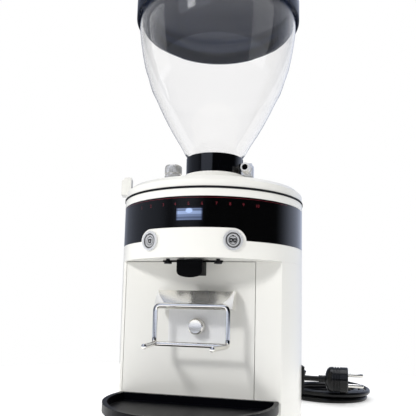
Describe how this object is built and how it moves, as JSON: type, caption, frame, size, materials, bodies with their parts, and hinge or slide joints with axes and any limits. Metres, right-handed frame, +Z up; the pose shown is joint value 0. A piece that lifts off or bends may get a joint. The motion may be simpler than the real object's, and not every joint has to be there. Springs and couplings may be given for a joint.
{
  "type": "espresso grinder",
  "caption": "Countertop espresso grinder with clear bean hopper, grind setting ring, portafilter holder and drip tray, with its internals.",
  "frame": {"origin": "on the burr and hopper axis at the height of the counter, which is also the middle of the machine's footprint", "axes": "+Z up, -Y towards the user at the front, +X to the right of someone facing the machine"},
  "size_m": [0.276, 0.4553, 0.4684],
  "materials": {
    "cream_paint": "smooth gloss enamel, warm cream white",
    "black_gloss": "glossy black",
    "black_matte": "matt black, fine grain",
    "grey_plastic": "plain grey moulding",
    "smoked_clear": "clear smoked polycarbonate",
    "dark_clear": "dark smoked polycarbonate",
    "clear_lens": "clear lens over a dark display",
    "satin_steel": "satin stainless steel",
    "zinc_steel": "zinc plated steel",
    "burr_steel": "ground tool steel",
    "core_steel": "stacked electrical sheet",
    "cast_aluminium": "as cast, machined seats",
    "copper": "enamelled copper wire",
    "chrome": "polished",
    "circuit_board": "green solder mask",
    "rubber": "matt black rubber",
    "cord_rubber": "black sheath, slight sheen"
  },
  "bodies": {
    "housing": {"base_casting": "cream_paint", "base_plate": "zinc_steel", "rubber_feet": "rubber", "foot_screws": "zinc_steel", "column_housing": "cream_paint", "front_panel": "cream_paint", "head_shell": "cream_paint", "control_fascia": "black_gloss", "display_window": "clear_lens", "display_module": "black_matte", "control_board": "circuit_board", "button_bezels": "chrome", "spout_housing": "black_matte", "spout_screws": "zinc_steel", "grind_chamber": "cast_aluminium", "chamber_screws": "zinc_steel", "motor_housing": "cast_aluminium", "motor_end_shield": "cast_aluminium", "stator_core": "core_steel", "stator_windings": "copper", "shaft_bearings": "satin_steel", "run_capacitor": "black_matte", "power_board": "circuit_board", "transformer": "core_steel", "terminal_block": "grey_plastic", "fan_frame": "black_matte", "switch_housing": "black_matte", "cable_gland": "black_matte", "mains_cord": "cord_rubber", "cord_coil": "cord_rubber", "cord_tail": "cord_rubber", "mains_plug": "cord_rubber"},
    "rotor": {"rotor_shaft": "satin_steel", "rotor_core": "core_steel", "lower_burr_carrier": "satin_steel", "lower_burr": "burr_steel", "lower_burr_screws": "zinc_steel"},
    "fan": {"fan_rotor": "black_matte"},
    "adjusting_ring": {"adjusting_drum": "cream_paint", "adjusting_lever": "cream_paint", "lever_screws": "zinc_steel", "upper_burr_carrier": "cast_aluminium", "upper_burr": "burr_steel", "upper_burr_screws": "zinc_steel", "hopper_collar": "black_gloss", "finger_guard": "black_matte"},
    "lock": {"lock_knob": "chrome"},
    "collar_clamp": {"collar_screw": "black_matte"},
    "hopper": {"hopper_bowl": "smoked_clear"},
    "lid": {"hopper_lid": "dark_clear"},
    "left_button": {"button_left": "chrome"},
    "right_button": {"button_right": "chrome"},
    "holder": {"holder_back_plate": "satin_steel", "rest_plate": "chrome", "wire_fork": "chrome", "holder_screws": "chrome", "clamp_nut": "zinc_steel"},
    "holder_clamp": {"clamp_knob": "chrome"},
    "tray": {"drip_tray": "black_gloss"},
    "power_switch": {"power_rocker": "black_gloss"}
  },
  "joints": [
    {"name": "burr_spin", "type": "hinge", "parent": "housing", "child": "rotor", "pos_m": [0, 0, 0.19], "axis": [0, 0, 1], "continuous": true},
    {"name": "fan_spin", "type": "hinge", "parent": "housing", "child": "fan", "pos_m": [0, 0.14, 0.1], "axis": [0, 1, 0], "continuous": true},
    {"name": "grind_adjust", "type": "hinge", "parent": "housing", "child": "adjusting_ring", "pos_m": [0, 0, 0.24], "axis": [0, 0, 1], "range_deg": [-34, 39]},
    {"name": "lock_turn", "type": "hinge", "parent": "adjusting_ring", "child": "lock", "pos_m": [-0.029, -0.06, 0.254], "axis": [0, 0, 1], "range_deg": [0, 180]},
    {"name": "collar_screw_turn", "type": "hinge", "parent": "adjusting_ring", "child": "collar_clamp", "pos_m": [0.0382, -0.015, 0.2702], "axis": [0, 1, 0], "range_deg": [0, 180]},
    {"name": "hopper_lift", "type": "slide", "parent": "adjusting_ring", "child": "hopper", "axis": [0, 0, 1], "range_m": [0, 0.08]},
    {"name": "lid_lift", "type": "slide", "parent": "hopper", "child": "lid", "axis": [0, 0, 1], "range_m": [0, 0.06]},
    {"name": "left_button_push", "type": "slide", "parent": "housing", "child": "left_button", "axis": [0.4171, 0.9089, 0], "range_m": [0, 0.0015], "stiffness_N_per_m": 700},
    {"name": "right_button_push", "type": "slide", "parent": "housing", "child": "right_button", "axis": [-0.4171, 0.9089, 0], "range_m": [0, 0.0015], "stiffness_N_per_m": 700},
    {"name": "holder_height", "type": "slide", "parent": "housing", "child": "holder", "axis": [0, 0, 1], "range_m": [-0.012, 0.012]},
    {"name": "holder_clamp_turn", "type": "hinge", "parent": "holder", "child": "holder_clamp", "pos_m": [0, -0.06, 0.1002], "axis": [0, 1, 0], "range_deg": [0, 180]},
    {"name": "tray_slide", "type": "slide", "parent": "housing", "child": "tray", "axis": [0, -1, 0], "range_m": [0, 0.06]},
    {"name": "power_rock", "type": "hinge", "parent": "housing", "child": "power_switch", "pos_m": [0.09684, 0.02058, 0.045], "axis": [0.2079, -0.9781, 0], "range_deg": [0, 16]}
  ]
}
